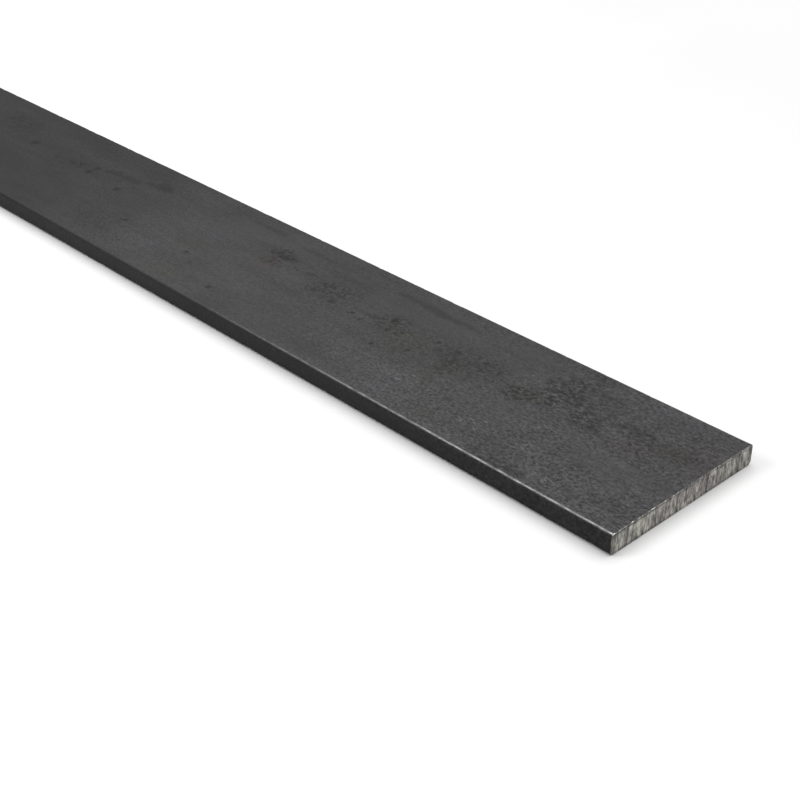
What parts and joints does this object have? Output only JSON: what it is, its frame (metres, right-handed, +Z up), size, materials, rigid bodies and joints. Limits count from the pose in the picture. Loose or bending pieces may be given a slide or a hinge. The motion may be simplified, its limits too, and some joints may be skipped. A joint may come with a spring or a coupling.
{
  "type": "metal flat bar",
  "caption": "Hot-rolled mild steel flat bar with rolled corners and square cut ends, dark mill scale on its faces, raw stock for framing, brackets and straps.",
  "frame": {"origin": "middle of the bottom face, where the bar lies on the floor", "axes": "+X along the bar, +Y across its width, +Z up through its thickness"},
  "size_m": [1, 0.045, 0.005],
  "materials": {
    "mill_scale_steel": "hot-rolled mill scale"
  },
  "bodies": {
    "root": {"flat_bar": "mill_scale_steel"}
  },
  "joints": []
}
